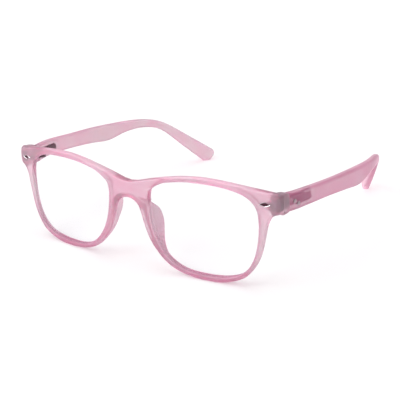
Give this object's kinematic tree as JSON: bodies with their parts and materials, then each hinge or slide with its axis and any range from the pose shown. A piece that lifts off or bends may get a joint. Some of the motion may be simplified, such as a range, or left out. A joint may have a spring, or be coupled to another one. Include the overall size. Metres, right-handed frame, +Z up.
{
  "type": "blue light glasses",
  "caption": "Frosted plastic computer glasses with clear flat-power lenses, moulded nose pads and folding temples on riveted barrel hinges.",
  "frame": {"origin": "middle of the bottom of the bounding box, with the rim bottoms and the temple tips on the plane z = 0", "axes": "+X towards the wearer's left, +Y back along the open temples, +Z up"},
  "size_m": [0.151, 0.1338, 0.0451],
  "materials": {
    "frosted_pink_plastic": "frosted translucent moulding, satin surface",
    "clear_lens": "polished clear resin with a coating",
    "hinge_metal": "dull nickel",
    "bright_trim": "polished"
  },
  "bodies": {
    "front": {"front_frame": "frosted_pink_plastic", "lens_left": "clear_lens", "lens_right": "clear_lens", "front_hinge_left": "hinge_metal", "front_hinge_right": "hinge_metal", "hinge_screw_left": "hinge_metal", "hinge_screw_right": "hinge_metal", "front_rivet_left": "bright_trim", "front_rivet_right": "bright_trim"},
    "left_temple": {"temple_left": "frosted_pink_plastic", "temple_hinge_left": "hinge_metal", "temple_rivet_left_front": "bright_trim", "temple_rivet_left_rear": "bright_trim"},
    "right_temple": {"temple_right": "frosted_pink_plastic", "temple_hinge_right": "hinge_metal", "temple_rivet_right_front": "bright_trim", "temple_rivet_right_rear": "bright_trim"}
  },
  "joints": [
    {"name": "left_temple_fold", "type": "hinge", "parent": "front", "child": "left_temple", "pos_m": [0.0645, -0.05064, 0.03665], "axis": [0, 0, 1], "range_deg": [0, 85]},
    {"name": "right_temple_fold", "type": "hinge", "parent": "front", "child": "right_temple", "pos_m": [-0.0645, -0.05064, 0.03665], "axis": [0, 0, -1], "range_deg": [0, 78]}
  ]
}
